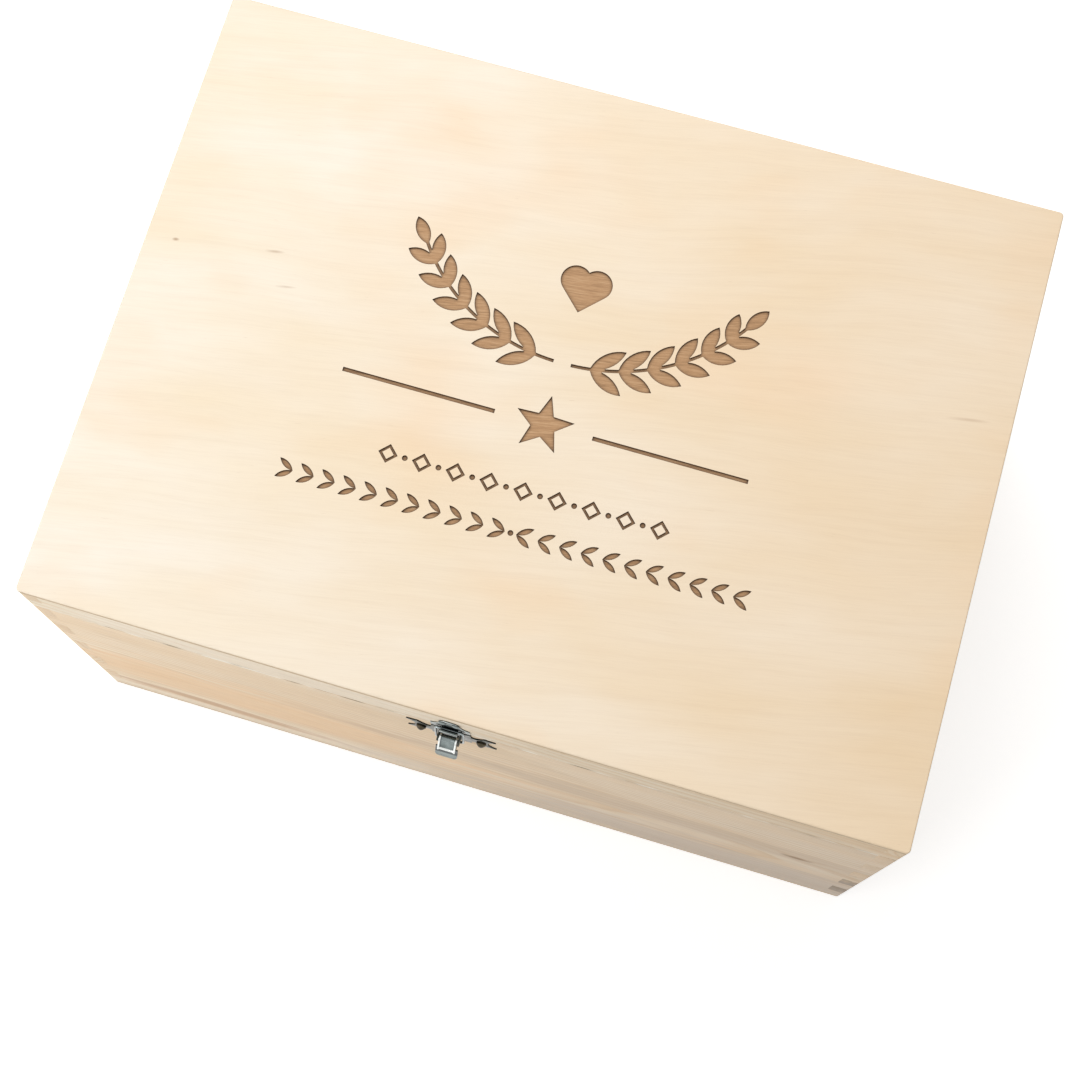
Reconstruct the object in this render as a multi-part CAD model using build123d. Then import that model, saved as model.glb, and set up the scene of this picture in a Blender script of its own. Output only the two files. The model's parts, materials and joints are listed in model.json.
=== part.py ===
"""Keepsake box: finger-jointed pine body and lid, plywood panels, two stop hinges and a toggle catch.

Millimetres. X runs to the right, Y to the back, Z up. The origin is the centre of the underside.
"""
import os
from math import acos, asin, atan2, cos, degrees, radians, sin

from build123d import *

# ---- driving dimensions: the wooden case ----
BOX_WIDTH = 400.0
BOX_DEPTH = 300.0
BODY_HEIGHT = 200.0
LID_HEIGHT = 30.0
WALL = 9.0
BOTTOM_THICKNESS = 4.0
LID_PANEL_THICKNESS = 4.0
SEAM_GAP = 0.4
BODY_FINGER = 19.6
LID_FINGER = 12.8
CORNER_RADIUS = 2.0
EDGE_BREAK = 0.7

# ---- driving dimensions: the engraving ----
ENGRAVING_DEPTH = 0.8
ENGRAVING_X = 0.5
STAR_Y = -13.0
STAR_RADIUS = 14.0
STAR_WAIST = 0.42
RULE_WIDTH = 2.0
RULE_START = 22.6
RULE_END = 93.8
GARLAND_Y = 17.0
GARLAND_GAP = 4.0
GARLAND_REACH = 76.0
GARLAND_RISE = 40.0
GARLAND_BOW = 10.0
GARLAND_STEM = 1.6
LEAF_LENGTH = 19.0
LEAF_WIDTH = 6.4
LEAF_SPREAD = 34.0
LEAF_PAIRS = 6
FIRST_LEAF = 0.1
LAST_LEAF = 0.85
TIP_LEAF = 0.97
LEAF_TAPER = 0.25
HEART_Y = 52.0
HEART_WIDTH = 24.0
LOZENGE_ROW_Y = -45.0
LOZENGE_SIZE = 9.0
LOZENGE_LINE = 1.3
LOZENGE_PITCH = 15.6
LOZENGE_COUNT = 9
BEAD_DIAMETER = 2.6
SPRIG_ROW_Y = -64.5
SPRIG_LENGTH = 8.4
SPRIG_WIDTH = 2.7
SPRIG_SPREAD = 32.0
SPRIG_PITCH = 9.8
SPRIG_COUNT = 11

# ---- driving dimensions: the stop hinges ----
HINGE_X = 125.0
HINGE_WIDTH = 30.0
HINGE_LEAF_HEIGHT = 20.0
HINGE_LEAF = 1.2
HINGE_CORNER = 2.4
HINGE_PIN_RADIUS = 1.1
KNUCKLE_RADIUS = 2.6
LID_KNUCKLE_WIDTH = 10.4
KNUCKLE_GAP = 0.3
KNUCKLE_TO_WOOD = 0.3
HINGE_FIT = 0.05
STOP_ANGLE = 100.0
STOP_REACH = 8.5
STOP_GAP = 0.15
STOP_ROUND = 1.1
SCREW_X = 9.0
SCREW_FROM_PIN = 13.0
SCREW_RADIUS = 1.1
SCREW_LENGTH = 8.0
SCREW_HEAD_RADIUS = 2.2
SCREW_HEAD_HEIGHT = 1.0
SCREW_SLOT = 0.6
SLOT_TURN = 25.0
HEAD_RIM_SHARE = 0.35
POINT_SLOPE = 1.6
PILOT_CLEARANCE = 0.02

# ---- driving dimensions: the toggle catch ----
CATCH_X = -2.0
SHEET = 0.6
CATCH_DROP = 11.3
HUB_WIDTH = 18.4
HUB_HEIGHT = 20.0
HUB_CORNER = 1.2
WING_ROOT = 13.0
WING_WAIST_X = 11.0
WING_WAIST = 8.0
WING_FLARE_X = 15.6
WING_FLARE = 19.4
WING_TIP_X = 20.75
WING_TIP = 17.2
WING_NOTCH_X = 17.0
WING_BOW = 0.4
WING_TAIL_BOW = 0.25
WING_NOTCH_BOW = 1.4
CATCH_NAIL_X = 14.0
NAIL_RADIUS = 0.6
NAIL_LENGTH = 7.5
PLATE_NAIL_HEAD_RADIUS = 2.3
PLATE_NAIL_HEAD_HEIGHT = 2.3
STRIKE_NAIL_HEAD_RADIUS = 1.8
STRIKE_NAIL_HEAD_HEIGHT = 0.9
LEVER_PIN_BELOW_SEAM = 5.0
LEVER_PIN_OUT = 4.0
LEVER_PIN_RADIUS = 0.75
LEVER_FIT = 0.06
EAR_RADIUS = 2.0
EAR_INSIDE = 4.4
EAR_SHEET = 0.8
LEVER_BARREL_RADIUS = 1.7
LEVER_CHEEK_RADIUS = 2.7
LEVER_BARREL_WIDTH = 8.2
LEVER_WIDTH = 10.2
LEVER_SHEET = 0.8
LEVER_RIM = 0.3
LEVER_RIB_OUT = 7.9
LEVER_RIB_RADIUS = 0.9
LEVER_SHOULDER = 4.0
LEVER_LIP_BACK = 0.5
LEVER_LENGTH = 12.6
LEVER_LIP_OUT = 10.4
LEVER_LIP_CORNER = 2.0
LEVER_BOW = 0.3
LINK_PIVOT_BELOW_PIN = 5.8
LINK_PIVOT_OUT = 3.0
LINK_WIRE_RADIUS = 0.6
LINK_WIDTH = 12.6
LINK_CORNER = 1.3
LINK_EYE = 1.5
HOOK_WIDTH = 8.0
HOOK_SHEET = 0.8
HOOK_ABOVE_SEAM = 3.9
HOOK_TIP_HEIGHT = 3.3
HOOK_CLEARANCE = 0.35
STRIKE_WIDTH = 18.0
STRIKE_FOOT = 2.0
STRIKE_SHOULDER = 7.5
STRIKE_BOW = 1.5
STRIKE_HEIGHT = 18.0
STRIKE_TOP_WIDTH = 9.6
STRIKE_NAIL_X = 3.1
STRIKE_NAIL_DOWN = 3.6

# ---- places worked out from the dimensions ----
HEIGHT = BODY_HEIGHT + LID_HEIGHT
RAIL_BOTTOM = BODY_HEIGHT + SEAM_GAP
RAIL_TOP = HEIGHT - LID_PANEL_THICKNESS
FRONT = -BOX_DEPTH / 2
BACK = BOX_DEPTH / 2
SEAM = BODY_HEIGHT + SEAM_GAP / 2

HINGE_PIN_OUT = KNUCKLE_RADIUS + KNUCKLE_TO_WOOD
HINGE_AXIS_Y = BACK + HINGE_PIN_OUT
LEAF_TO_KNUCKLE = KNUCKLE_RADIUS + KNUCKLE_GAP

PLATE_Z = BODY_HEIGHT - CATCH_DROP
LEVER_PIN_Z = BODY_HEIGHT - LEVER_PIN_BELOW_SEAM
LINK_PIVOT_Z = LEVER_PIN_Z - LINK_PIVOT_BELOW_PIN
HOOK_Z = BODY_HEIGHT + HOOK_ABOVE_SEAM
LINK_BAR_Z = HOOK_Z + HOOK_SHEET + HOOK_CLEARANCE + LINK_WIRE_RADIUS
LINK_BAR_OUT = SHEET + HOOK_CLEARANCE + LINK_WIRE_RADIUS
HOOK_TIP_OUT = LINK_BAR_OUT + LINK_WIRE_RADIUS + HOOK_CLEARANCE


def on_front(x, z):
    """A plane on the front face: local x and y are the box's X and Z, and it faces outwards."""
    return Plane(origin=(x, FRONT, z), x_dir=(1, 0, 0), z_dir=(0, -1, 0))


def catch_side():
    """The catch seen from its side: local x is the distance out of the front face, local y is Z."""
    return Plane(origin=(CATCH_X, FRONT, 0), x_dir=(0, -1, 0), z_dir=(-1, 0, 0))


def hinge_side(x):
    """A hinge seen from its side: local x is the distance out of the back face, local y is Z."""
    return Plane(origin=(x, BACK, 0), x_dir=(0, 1, 0), z_dir=(1, 0, 0))


def on_back(x, z):
    """A plane on the back face that faces outwards: local y is the box's Z."""
    return Plane(origin=(x, BACK, z), x_dir=(-1, 0, 0), z_dir=(0, 1, 0))


def block(low, high):
    """A box between two corners."""
    size = [b - a for a, b in zip(low, high)]
    centre = [(a + b) / 2 for a, b in zip(low, high)]
    return Pos(*centre) * Box(*size)


def mirrored(shape):
    """The shape and its mirror image across the catch's centre plane."""
    return shape + mirror(shape, Plane(origin=(CATCH_X, 0, 0), z_dir=(1, 0, 0)))


# ---- the wooden case ----
def outer_shape(bottom, top, broken):
    """The outside of a stage of the case, with rounded corners and its broken edges."""
    shape = Pos(0, 0, bottom) * extrude(RectangleRounded(BOX_WIDTH, BOX_DEPTH, CORNER_RADIUS), top - bottom)
    for level in broken:
        shape = chamfer(shape.faces().sort_by(Axis.Z)[level].edges(), EDGE_BREAK)
    return shape


def side_fingers(bottom, top, finger):
    """The levels at which the side boards' end grain shows on the front and back."""
    count = max(2, round((top - bottom) / finger))
    step = (top - bottom) / count
    return [(bottom + i * step, bottom + (i + 1) * step) for i in range(1, count, 2)]


def case_boards(bottom, top, finger, broken):
    """Front, back, left and right boards, whose fingers fill each other's gaps."""
    outside = outer_shape(bottom, top, broken)
    levels = side_fingers(bottom, top, finger)
    half_w, half_d = BOX_WIDTH / 2, BOX_DEPTH / 2
    boards = {}
    for name, side in (("front", -1), ("back", 1)):
        ends = sorted((side * half_d, side * (half_d - WALL)))
        board = block((-half_w, ends[0], bottom), (half_w, ends[1], top))
        for low, high in levels:
            board -= block((-half_w, ends[0], low), (-half_w + WALL, ends[1], high))
            board -= block((half_w - WALL, ends[0], low), (half_w, ends[1], high))
        boards[name] = board & outside
    for name, side in (("left", -1), ("right", 1)):
        ends = sorted((side * half_w, side * (half_w - WALL)))
        board = block((ends[0], -half_d + WALL, bottom), (ends[1], half_d - WALL, top))
        for low, high in levels:
            board += block((ends[0], -half_d, low), (ends[1], half_d, high))
        boards[name] = board & outside
    return boards


# ---- the engraving ----
def leaf(length, width):
    """A pointed leaf along local x, from its stalk at the origin."""
    upper = ThreePointArc((0, 0), (length / 2, width / 2), (length, 0))
    lower = ThreePointArc((length, 0), (length / 2, -width / 2), (0, 0))
    return make_face([upper, lower])


def star():
    """A five-pointed star with one point towards the back."""
    points = []
    for i in range(10):
        radius = STAR_RADIUS if i % 2 == 0 else STAR_RADIUS * STAR_WAIST
        angle = radians(90 + 36 * i)
        points.append((radius * cos(angle), radius * sin(angle)))
    return Polygon(*points, align=None)


def heart():
    """A plain heart, its point towards the front: a square on its corner and two round lobes."""
    side = HEART_WIDTH / (1 + 0.5**0.5)
    shape = Rot(Z=45) * Rectangle(side, side)
    lobe = side * 0.5**0.5 / 2
    return shape + [Pos(x, lobe) * Circle(side / 2) for x in (-lobe, lobe)]


def branch():
    """One leafy branch of the garland, from the middle out to the right."""
    end = (GARLAND_REACH, GARLAND_RISE)
    stem = SagittaArc((GARLAND_GAP, 0), end, -GARLAND_BOW)
    shape = trace(stem, line_width=GARLAND_STEM)
    leaves = []
    for i in range(LEAF_PAIRS):
        share = FIRST_LEAF + (LAST_LEAF - FIRST_LEAF) * i / (LEAF_PAIRS - 1)
        leaves += [(share, -LEAF_SPREAD), (share, LEAF_SPREAD)]
    for share, spread in [*leaves, (TIP_LEAF, 0)]:
        point, way = stem @ share, stem % share
        turn = degrees(atan2(way.Y, way.X)) + spread
        length = LEAF_LENGTH * (1 - LEAF_TAPER * share)
        shape += Pos(point.X, point.Y) * Rot(Z=turn) * leaf(length, LEAF_WIDTH)
    return shape


def lozenge_row():
    """Open lozenges with a bead between each two."""
    shape = Sketch()
    first = -(LOZENGE_COUNT - 1) / 2 * LOZENGE_PITCH
    inner = LOZENGE_SIZE - 2 * LOZENGE_LINE * 2**0.5
    for i in range(LOZENGE_COUNT):
        x = first + i * LOZENGE_PITCH
        ring = Rot(Z=45) * Rectangle(LOZENGE_SIZE / 2**0.5, LOZENGE_SIZE / 2**0.5)
        ring -= Rot(Z=45) * Rectangle(inner / 2**0.5, inner / 2**0.5)
        shape += Pos(x, 0) * ring
        if i + 1 < LOZENGE_COUNT:
            shape += Pos(x + LOZENGE_PITCH / 2, 0) * Circle(BEAD_DIAMETER / 2)
    return shape


def sprig_row():
    """A band of small paired leaves that point away from a bead in the middle."""
    shape = Sketch() + Circle(BEAD_DIAMETER / 2)
    for i in range(SPRIG_COUNT):
        x = BEAD_DIAMETER + i * SPRIG_PITCH
        for side in (-1, 1):
            small = Pos(x, 0) * Rot(Z=side * SPRIG_SPREAD) * leaf(SPRIG_LENGTH, SPRIG_WIDTH)
            shape += [small, mirror(small, Plane.YZ)]
    return shape


def engraving():
    """The whole design, flat, centred on the lid."""
    right = branch()
    rule = Pos((RULE_START + RULE_END) / 2, STAR_Y) * Rectangle(RULE_END - RULE_START, RULE_WIDTH)
    design = Sketch() + [Pos(0, GARLAND_Y) * right, Pos(0, GARLAND_Y) * mirror(right, Plane.YZ)]
    design += [Pos(0, HEART_Y) * heart(), Pos(0, STAR_Y) * star(), rule, mirror(rule, Plane.YZ)]
    design += [Pos(0, LOZENGE_ROW_Y) * lozenge_row(), Pos(0, SPRIG_ROW_Y) * sprig_row()]
    return Pos(ENGRAVING_X, 0) * design


def lid_panel():
    """The plywood top, engraved, with its upper edge rounded over."""
    sheet = extrude(RectangleRounded(BOX_WIDTH, BOX_DEPTH, CORNER_RADIUS), LID_PANEL_THICKNESS)
    panel = Pos(0, 0, RAIL_TOP) * sheet
    panel = fillet(panel.faces().sort_by(Axis.Z)[-1].edges(), EDGE_BREAK)
    return panel - extrude(Pos(0, 0, HEIGHT) * engraving(), -ENGRAVING_DEPTH)


def bottom_panel():
    """The plywood bottom, its lower edge broken."""
    panel = extrude(RectangleRounded(BOX_WIDTH, BOX_DEPTH, CORNER_RADIUS), BOTTOM_THICKNESS)
    return chamfer(panel.faces().sort_by(Axis.Z)[0].edges(), EDGE_BREAK)


# ---- fasteners ----
def fastener(plane, seat, length, shank_radius, head_radius, head_height):
    """A shank into the wood from the plane, under a domed head that sits on the sheet."""
    taper = shank_radius * POINT_SLOPE
    rim = seat + head_height * HEAD_RIM_SHARE
    dome = head_height * (1 - HEAD_RIM_SHARE)
    dome_radius = (head_radius**2 + dome**2) / (2 * dome)
    half_angle = asin(head_radius / dome_radius) / 2
    shoulder = (dome_radius * sin(half_angle), rim + dome - dome_radius * (1 - cos(half_angle)))
    crown = (0, rim + dome)
    shank = [(0, -length), (shank_radius, -length + taper), (shank_radius, seat)]
    outline = Polyline(crown, *shank, (head_radius, seat), (head_radius, rim))
    face = make_face([*outline.edges(), ThreePointArc((head_radius, rim), shoulder, crown)])
    turned = revolve(Plane.XZ * face, Axis.Z)
    return plane * turned


def pilot(plane, length, radius):
    """The hole that a shank makes in the wood."""
    depth = length + PILOT_CLEARANCE
    return plane * extrude(Circle(radius + PILOT_CLEARANCE), -depth)


def hinge_screw(plane):
    """A slotted round-head screw on a hinge leaf."""
    screw = fastener(plane, HINGE_LEAF, SCREW_LENGTH, SCREW_RADIUS, SCREW_HEAD_RADIUS, SCREW_HEAD_HEIGHT)
    top = HINGE_LEAF + SCREW_HEAD_HEIGHT
    slot = Pos(0, 0, top) * Box(2 * SCREW_HEAD_RADIUS, SCREW_SLOT, SCREW_HEAD_HEIGHT)
    return screw - plane * (Rot(Z=SLOT_TURN) * slot)


def catch_nail(plane, head_radius, head_height):
    """A round-head nail through the catch's sheet."""
    return fastener(plane, SHEET, NAIL_LENGTH, NAIL_RADIUS, head_radius, head_height)


def plate_nail(plane):
    return catch_nail(plane, PLATE_NAIL_HEAD_RADIUS, PLATE_NAIL_HEAD_HEIGHT)


def strike_nail(plane):
    return catch_nail(plane, STRIKE_NAIL_HEAD_RADIUS, STRIKE_NAIL_HEAD_HEIGHT)


def screw_planes(side):
    """Where the screws of both hinges go: side is -1 below the pins and 1 above them."""
    z = SEAM + side * SCREW_FROM_PIN
    return [on_back(hinge_x + x, z) for hinge_x in (-HINGE_X, HINGE_X) for x in (-SCREW_X, SCREW_X)]


def plate_nail_planes():
    return [on_front(CATCH_X + side * CATCH_NAIL_X, PLATE_Z) for side in (-1, 1)]


def strike_nail_planes():
    z = BODY_HEIGHT + STRIKE_FOOT + STRIKE_HEIGHT - STRIKE_NAIL_DOWN
    return [on_front(CATCH_X + side * STRIKE_NAIL_X, z) for side in (-1, 1)]


# ---- the hinges ----
def knuckle(x_low, x_high):
    """A rolled knuckle round the pin, without its bore."""
    ring = Pos(HINGE_PIN_OUT, SEAM) * Circle(KNUCKLE_RADIUS)
    return extrude(hinge_side(x_low) * ring, x_high - x_low)


def pin_bore(x_centre, clearance):
    hole = Pos(HINGE_PIN_OUT, SEAM) * Circle(HINGE_PIN_RADIUS + clearance)
    return extrude(hinge_side(x_centre - HINGE_WIDTH) * hole, 2 * HINGE_WIDTH)


def leaf_plate(x_centre, side):
    """The flat leaf, below the pin for side -1 or above it for side 1, clear of the other's knuckle."""
    sheet = (BACK, BACK + HINGE_LEAF)
    half, lid_half = HINGE_WIDTH / 2, LID_KNUCKLE_WIDTH / 2
    far = SEAM + side * HINGE_LEAF_HEIGHT
    near = SEAM + side * LEAF_TO_KNUCKLE
    low, high = sorted((near, far))
    plate = block((x_centre - half, sheet[0], low), (x_centre + half, sheet[1], high))
    plate = fillet(plate.edges().filter_by(Axis.Y).group_by(Axis.Z)[0 if side < 0 else -1], HINGE_CORNER)
    low, high = sorted((SEAM, near + side * HINGE_LEAF))
    if side < 0:
        spans = [(-half, -lid_half - KNUCKLE_GAP), (lid_half + KNUCKLE_GAP, half)]
    else:
        spans = [(-lid_half, lid_half)]
    for left, right in spans:
        plate += block((x_centre + left, sheet[0], low), (x_centre + right, sheet[1], high))
        plate += knuckle(x_centre + left, x_centre + right)
    for x in (-SCREW_X, SCREW_X):
        hole = on_back(x_centre + x, SEAM + side * SCREW_FROM_PIN)
        plate -= hole * extrude(Circle(SCREW_RADIUS + PILOT_CLEARANCE), HINGE_LEAF)
    return plate


def stop_tail(x_centre):
    """The lid leaf's tail: with the lid open it lies against the body leaf and stops it."""
    inner = HINGE_LEAF + STOP_GAP
    tail = block(
        (x_centre - LID_KNUCKLE_WIDTH / 2, BACK + inner, SEAM - STOP_REACH),
        (x_centre + LID_KNUCKLE_WIDTH / 2, BACK + inner + HINGE_LEAF, SEAM),
    )
    tail = fillet(tail.edges().filter_by(Axis.Y).group_by(Axis.Z)[0], STOP_ROUND)
    return tail.rotate(Axis((0, HINGE_AXIS_Y, SEAM), (1, 0, 0)), STOP_ANGLE)


def body_leaf(x_centre):
    return leaf_plate(x_centre, -1) - pin_bore(x_centre, PILOT_CLEARANCE)


def lid_leaf(x_centre):
    return leaf_plate(x_centre, 1) + stop_tail(x_centre) - pin_bore(x_centre, HINGE_FIT)


def hinge_pin(x_centre):
    rod = Pos(HINGE_PIN_OUT, SEAM) * Circle(HINGE_PIN_RADIUS)
    return extrude(hinge_side(x_centre - HINGE_WIDTH / 2) * rod, HINGE_WIDTH)


# ---- the catch ----
def wing():
    """One wing of the catch plate: a waist, then a flared tail with two pointed prongs."""
    root = (HUB_WIDTH / 2 - HUB_CORNER, WING_ROOT / 2)
    waist = (WING_WAIST_X, WING_WAIST / 2)
    flare = (WING_FLARE_X, WING_FLARE / 2)
    tip = (WING_TIP_X, WING_TIP / 2)
    notch = (WING_NOTCH_X, 0)
    outline = [
        SagittaArc(root, waist, -WING_BOW),
        SagittaArc(waist, flare, -WING_BOW),
        SagittaArc(flare, tip, -WING_TAIL_BOW),
        SagittaArc(tip, notch, -WING_NOTCH_BOW),
        *Polyline(notch, (root[0], 0), root).edges(),
    ]
    half = make_face(outline)
    return half + mirror(half, Plane.XZ)


def ear():
    """An upright ear beside the lever, which holds the end of its pin."""
    tab = Pos(LEVER_PIN_OUT, LEVER_PIN_Z) * Circle(EAR_RADIUS)
    reach = LEVER_PIN_OUT - SHEET
    tab += Pos(SHEET + reach / 2, LEVER_PIN_Z) * Rectangle(reach, 2 * EAR_RADIUS)
    return Pos(EAR_INSIDE, 0, 0) * extrude(catch_side() * tab, -EAR_SHEET)


def catch_bore(clearance):
    hole = Pos(LEVER_PIN_OUT, LEVER_PIN_Z) * Circle(LEVER_PIN_RADIUS + clearance)
    return extrude(catch_side() * hole, HUB_WIDTH, both=True)


def catch_plate():
    """The catch's base on the body, stamped from sheet, with two wings and two ears."""
    flat = RectangleRounded(HUB_WIDTH, HUB_HEIGHT, HUB_CORNER) + wing() + mirror(wing(), Plane.YZ)
    for side in (-1, 1):
        flat -= Pos(side * CATCH_NAIL_X, 0) * Circle(NAIL_RADIUS + PILOT_CLEARANCE)
    plate = extrude(on_front(CATCH_X, PLATE_Z) * flat, SHEET)
    return plate + mirrored(ear()) - catch_bore(PILOT_CLEARANCE)


def lever_pin():
    """The rivet through both ears."""
    rod = Pos(LEVER_PIN_OUT, LEVER_PIN_Z) * Circle(LEVER_PIN_RADIUS)
    return extrude(catch_side() * rod, EAR_INSIDE + EAR_SHEET, both=True)


def catch_lever():
    """The lever: a barrel on the pin, a floor that slopes out between two cheeks to a rib, and a lip."""
    side = catch_side()
    on_pin = Pos(LEVER_PIN_OUT, LEVER_PIN_Z)
    half = LEVER_BARREL_WIDTH / 2
    rib = Vector(LEVER_RIB_OUT, LEVER_PIN_Z - LEVER_SHOULDER)
    shape = extrude(side * on_pin * Circle(LEVER_BARREL_RADIUS), half, both=True)
    shape += extrude(side * Pos(rib) * Circle(LEVER_RIB_RADIUS), half, both=True)

    # the floor's outer face is tangent to the barrel
    from_pin = rib - Vector(LEVER_PIN_OUT, LEVER_PIN_Z)
    barrel_middle = LEVER_BARREL_RADIUS - LEVER_SHEET / 2
    turn = atan2(from_pin.Y, from_pin.X) + acos(barrel_middle / from_pin.length)
    top = (LEVER_PIN_OUT + barrel_middle * cos(turn), LEVER_PIN_Z + barrel_middle * sin(turn))
    shape += extrude(side * trace(Line(top, rib), line_width=LEVER_SHEET), half, both=True)

    lip_z = LEVER_PIN_Z - LEVER_LENGTH
    blade = SagittaArc((rib.X - LEVER_LIP_BACK, rib.Y), (LEVER_LIP_OUT - LEVER_SHEET / 2, lip_z), -LEVER_BOW)
    tongue = extrude(side * trace(blade, line_width=LEVER_SHEET), LEVER_WIDTH / 2, both=True)
    front = RectangleRounded(LEVER_WIDTH, 2 * (rib.Y - lip_z), LEVER_LIP_CORNER)
    shape += tongue & extrude(on_front(CATCH_X, rib.Y) * front, 2 * LEVER_LIP_OUT)

    cheek = make_hull(
        [
            *(on_pin * Circle(LEVER_CHEEK_RADIUS)).edges(),
            *(Pos(rib) * Circle(LEVER_RIB_RADIUS + LEVER_RIM)).edges(),
            *(Pos(LINK_PIVOT_OUT, LINK_PIVOT_Z) * Circle(LINK_EYE)).edges(),
        ]
    )
    shape += mirrored(Pos(half - LEVER_SHEET, 0, 0) * extrude(side * cheek, -LEVER_SHEET))
    eye = Pos(LINK_PIVOT_OUT, LINK_PIVOT_Z) * Circle(LINK_WIRE_RADIUS + LEVER_FIT)
    shape -= extrude(side * eye, LEVER_WIDTH, both=True)
    return shape - catch_bore(LEVER_FIT)


def catch_link():
    """The wire link: its ends turn in at the lever, and its top bar lies in the hook."""
    half = LINK_WIDTH / 2
    foot = (FRONT - LINK_PIVOT_OUT, LINK_PIVOT_Z)
    bar = (FRONT - LINK_BAR_OUT, LINK_BAR_Z)
    inner = LEVER_BARREL_WIDTH / 2 - LEVER_SHEET
    corners = [(-inner, foot), (-half, foot), (-half, bar), (half, bar), (half, foot), (inner, foot)]
    path = FilletPolyline(*[(CATCH_X + x, y, z) for x, (y, z) in corners], radius=LINK_CORNER)
    start = Plane(origin=path @ 0, z_dir=path % 0)
    return sweep(start * Circle(LINK_WIRE_RADIUS), path=path)


def strike_plate():
    """The catch's hook plate on the lid: a shouldered plate with an upturned tongue."""
    foot_z, top_z = STRIKE_FOOT, STRIKE_FOOT + STRIKE_HEIGHT
    half, top_half = STRIKE_WIDTH / 2, STRIKE_TOP_WIDTH / 2
    crown = top_z - top_half
    outline = [
        *Polyline((0, top_z), (0, foot_z), (half, foot_z), (half, STRIKE_SHOULDER)).edges(),
        SagittaArc((half, STRIKE_SHOULDER), (top_half, crown), STRIKE_BOW),
        CenterArc((0, crown), top_half, 0, 90),
    ]
    half_face = make_face(outline)
    flat = half_face + mirror(half_face, Plane.YZ)
    for side in (-1, 1):
        hole = Pos(side * STRIKE_NAIL_X, top_z - STRIKE_NAIL_DOWN)
        flat -= hole * Circle(NAIL_RADIUS + PILOT_CLEARANCE)
    plate = extrude(on_front(CATCH_X, BODY_HEIGHT) * flat, SHEET)
    ledge = Pos((SHEET + HOOK_TIP_OUT + HOOK_SHEET) / 2, HOOK_Z + HOOK_SHEET / 2)
    tongue = ledge * Rectangle(HOOK_TIP_OUT + HOOK_SHEET - SHEET, HOOK_SHEET)
    tip = Pos(HOOK_TIP_OUT + HOOK_SHEET / 2, HOOK_Z + HOOK_TIP_HEIGHT / 2)
    tongue += tip * Rectangle(HOOK_SHEET, HOOK_TIP_HEIGHT)
    return plate + extrude(catch_side() * tongue, HOOK_WIDTH / 2, both=True)


def drilled(board, planes, length, radius):
    for plane in planes:
        board -= pilot(plane, length, radius)
    return board


def parts():
    body = case_boards(BOTTOM_THICKNESS, BODY_HEIGHT, BODY_FINGER, (-1,))
    lid = case_boards(RAIL_BOTTOM, RAIL_TOP, LID_FINGER, (0,))
    body["front"] = drilled(body["front"], plate_nail_planes(), NAIL_LENGTH, NAIL_RADIUS)
    body["back"] = drilled(body["back"], screw_planes(-1), SCREW_LENGTH, SCREW_RADIUS)
    lid["front"] = drilled(lid["front"], strike_nail_planes(), NAIL_LENGTH, NAIL_RADIUS)
    lid["back"] = drilled(lid["back"], screw_planes(1), SCREW_LENGTH, SCREW_RADIUS)
    nodes = {f"body_{name}_wall": board for name, board in body.items()}
    nodes.update({f"lid_{name}_rail": board for name, board in lid.items()})
    nodes["bottom_panel"] = bottom_panel()
    nodes["lid_panel"] = lid_panel()
    for name, x in (("left", -HINGE_X), ("right", HINGE_X)):
        nodes[f"{name}_hinge_body_leaf"] = body_leaf(x)
        nodes[f"{name}_hinge_lid_leaf"] = lid_leaf(x)
        nodes[f"{name}_hinge_pin"] = hinge_pin(x)
    nodes["hinge_body_screws"] = Compound([hinge_screw(plane) for plane in screw_planes(-1)])
    nodes["hinge_lid_screws"] = Compound([hinge_screw(plane) for plane in screw_planes(1)])
    nodes["catch_plate"] = catch_plate()
    nodes["catch_plate_nails"] = Compound([plate_nail(plane) for plane in plate_nail_planes()])
    nodes["catch_lever_pin"] = lever_pin()
    nodes["catch_lever"] = catch_lever()
    nodes["catch_link"] = catch_link()
    nodes["catch_hook_plate"] = strike_plate()
    nodes["catch_hook_nails"] = Compound([strike_nail(plane) for plane in strike_nail_planes()])
    return nodes


os.makedirs("parts", exist_ok=True)
for node, shape in parts().items():
    export_step(shape, f"parts/{node}.step")
    print(node, "solids", len(shape.solids()), "volume", round(shape.volume, 1))
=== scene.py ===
"""Looks of the keepsake box: bare pine boards, an engraved plywood lid, plated hinges and a toggle catch."""
import json
from math import pi, radians

import bmesh
import bpy
from mathutils import Matrix, Vector


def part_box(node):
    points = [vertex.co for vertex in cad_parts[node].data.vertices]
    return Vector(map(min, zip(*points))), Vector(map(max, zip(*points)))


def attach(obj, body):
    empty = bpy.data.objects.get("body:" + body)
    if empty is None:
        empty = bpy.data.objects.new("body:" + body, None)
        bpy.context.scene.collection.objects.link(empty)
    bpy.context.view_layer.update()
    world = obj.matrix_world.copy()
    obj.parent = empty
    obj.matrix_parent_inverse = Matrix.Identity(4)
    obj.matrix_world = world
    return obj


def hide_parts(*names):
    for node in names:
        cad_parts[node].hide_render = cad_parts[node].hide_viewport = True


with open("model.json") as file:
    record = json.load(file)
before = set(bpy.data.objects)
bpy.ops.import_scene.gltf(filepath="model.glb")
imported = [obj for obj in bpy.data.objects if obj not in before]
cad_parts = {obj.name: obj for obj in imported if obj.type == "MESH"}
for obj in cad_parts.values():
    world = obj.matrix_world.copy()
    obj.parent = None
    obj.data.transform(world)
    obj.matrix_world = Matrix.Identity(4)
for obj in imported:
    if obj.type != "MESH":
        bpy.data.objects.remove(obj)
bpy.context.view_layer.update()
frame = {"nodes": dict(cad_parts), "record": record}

MM = 0.001
BODY_OF = {node: body for body, nodes in frame["record"]["behaviour"]["bodies"].items() for node in nodes}
SLOT_OF = {part["node"]: part["material_slot"] for part in frame["record"]["subparts"]}

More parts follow.
